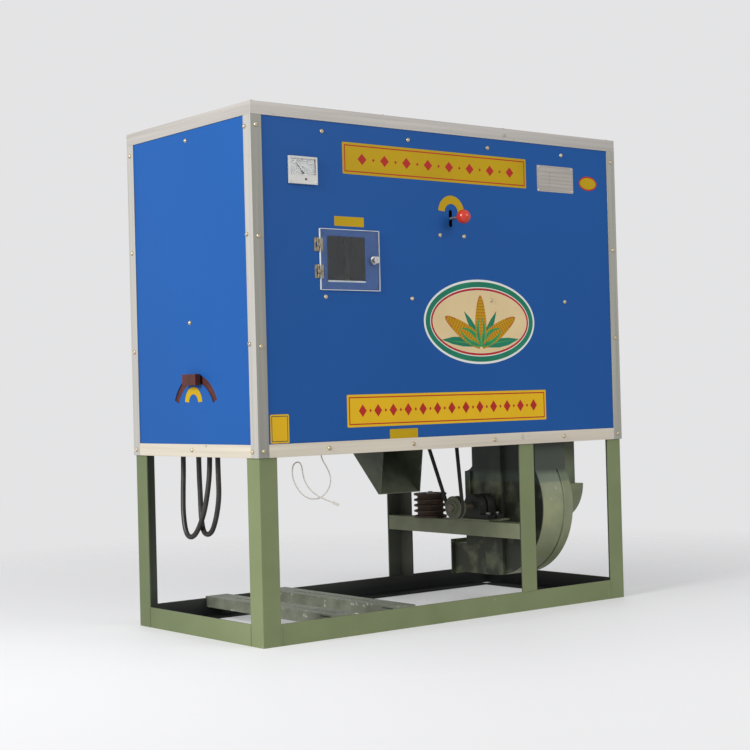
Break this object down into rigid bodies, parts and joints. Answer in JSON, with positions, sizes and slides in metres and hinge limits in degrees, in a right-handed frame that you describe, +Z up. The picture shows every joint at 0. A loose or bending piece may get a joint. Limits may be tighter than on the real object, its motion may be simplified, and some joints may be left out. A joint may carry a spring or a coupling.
{
  "type": "corn dehuller",
  "caption": "Corn dehuller: sheet-clad cabinet with feed hopper, screen rotor, sight window, feed lever and chute on an angle-iron stand with a belt-driven husk fan and motor rails.",
  "frame": {"origin": "middle of the whole object at floor level", "axes": "+X along the front to the right, +Y from the front to the back, +Z up"},
  "size_m": [1.52, 0.78, 1.5705],
  "materials": {
    "stand_green": "satin, hand sprayed",
    "cabinet_blue": "smooth satin sheet",
    "trim_aluminium": "mill finish",
    "fan_green": "dusty satin",
    "rail_steel": "worn, dusty",
    "galvanised_sheet": "galvanised",
    "machine_green": "satin",
    "bare_steel": "machined",
    "cast_grey": "as cast",
    "rust_brown": "rusty",
    "red_oxide": "primer",
    "belt_rubber": "matt",
    "cable_black": "matt",
    "wire_pale": "matt",
    "knob_red": "gloss",
    "meter_white": "semi-gloss",
    "clear_plastic": "clear",
    "pointer_black": "matt",
    "chrome_metal": "polished"
  },
  "bodies": {
    "machine": {"back_panel": "cabinet_blue", "base_frame": "stand_green", "bearing_stands": "stand_green", "bottom_trims": "trim_aluminium", "cabinet_floor_panel": "galvanised_sheet", "cabinet_frame": "stand_green", "cable_glands": "cable_black", "chamber_casing_lower": "machine_green", "chamber_casing_upper": "machine_green", "chamber_end_plates": "machine_green", "corner_posts": "stand_green", "corner_trims": "trim_aluminium", "crossbar": "stand_green", "discharge_chute": "stand_green", "fan_bearing_shelf": "stand_green", "fan_bearings": "fan_green", "fan_casing_left": "fan_green", "fan_casing_right": "fan_green", "feed_hopper": "galvanised_sheet", "feed_lid_hinges": "bare_steel", "front_panel": "cabinet_blue", "gate_guide_spout": "galvanised_sheet", "husk_ducts": "fan_green", "left_panel": "cabinet_blue", "main_bearings": "machine_green", "mid_posts": "stand_green", "motor_pulley": "rust_brown", "motor_pulley_stud": "bare_steel", "motor_rails": "rail_steel", "panel_meter_body": "meter_white", "panel_meter_window": "clear_plastic", "right_panel": "cabinet_blue", "roof_panel": "cabinet_blue", "screen_drum": "bare_steel", "shaft_brackets": "bare_steel", "signal_wire": "wire_pale", "suction_elbow": "fan_green", "supply_cable_a": "cable_black", "supply_cable_b": "cable_black", "top_trim": "trim_aluminium", "v_belt": "belt_rubber", "window_hinge_panel_leaves": "chrome_metal", "wire_plug": "wire_pale"},
    "rotor": {"main_shaft": "bare_steel", "dehulling_rotor": "cast_grey", "main_pulley": "cast_grey"},
    "fan_rotor": {"fan_shaft": "bare_steel", "fan_impeller": "cast_grey", "fan_pulley": "cast_grey"},
    "feed_lever": {"feed_lever": "bare_steel", "feed_lever_knob": "knob_red"},
    "feed_gate": {"feed_gate": "galvanised_sheet"},
    "feed_lid": {"feed_lid": "cabinet_blue"},
    "window_door": {"window_door": "clear_plastic", "window_hinge_door_leaves": "chrome_metal", "lock_body": "chrome_metal"},
    "lock_plug": {"lock_plug": "chrome_metal"},
    "adjuster": {"adjusting_quadrant": "red_oxide", "adjusting_flap": "bare_steel"},
    "meter_pointer": {"panel_meter_pointer": "pointer_black"}
  },
  "joints": [
    {"name": "rotor_spin", "type": "hinge", "parent": "machine", "child": "rotor", "pos_m": [-0.24, 0.09, 0.86], "axis": [1, 0, 0], "continuous": true},
    {"name": "fan_spin", "type": "hinge", "parent": "machine", "child": "fan_rotor", "pos_m": [0.36, -0.055, 0.33], "axis": [1, 0, 0], "continuous": true},
    {"name": "feed_lever_swing", "type": "hinge", "parent": "machine", "child": "feed_lever", "pos_m": [0.011, -0.21, 1.258], "axis": [1, 0, 0], "range_deg": [-11, 11]},
    {"name": "feed_gate_slide", "type": "slide", "parent": "machine", "child": "feed_gate", "axis": [0, 1, 0], "range_m": [-0.0423, 0.0423]},
    {"name": "feed_lid_hinge", "type": "hinge", "parent": "machine", "child": "feed_lid", "pos_m": [-0.39, 0.258, 1.5655], "axis": [1, 0, 0], "range_deg": [-100, 0]},
    {"name": "window_door_hinge", "type": "hinge", "parent": "machine", "child": "window_door", "pos_m": [-0.511, -0.31, 1.116], "axis": [0, 0, 1], "range_deg": [-110, 0]},
    {"name": "lock_turn", "type": "hinge", "parent": "window_door", "child": "lock_plug", "pos_m": [-0.307, -0.311, 1.116], "axis": [0, 1, 0], "range_deg": [0, 90]},
    {"name": "adjuster_swing", "type": "hinge", "parent": "machine", "child": "adjuster", "pos_m": [-0.34, 0.021, 0.658], "axis": [1, 0, 0], "range_deg": [-20, 20]},
    {"name": "meter_pointer_turn", "type": "hinge", "parent": "machine", "child": "meter_pointer", "pos_m": [-0.56, -0.312, 1.364], "axis": [0, 1, 0], "range_deg": [0, 84], "stiffness_Nm_per_rad": 0.001, "springref_deg": -14.32}
  ],
  "couplings": [
    {"joint": "fan_spin", "follows": "rotor_spin", "ratio": 3.5588},
    {"joint": "feed_gate_slide", "follows": "feed_lever_swing", "m_per_rad": 0.22}
  ]
}
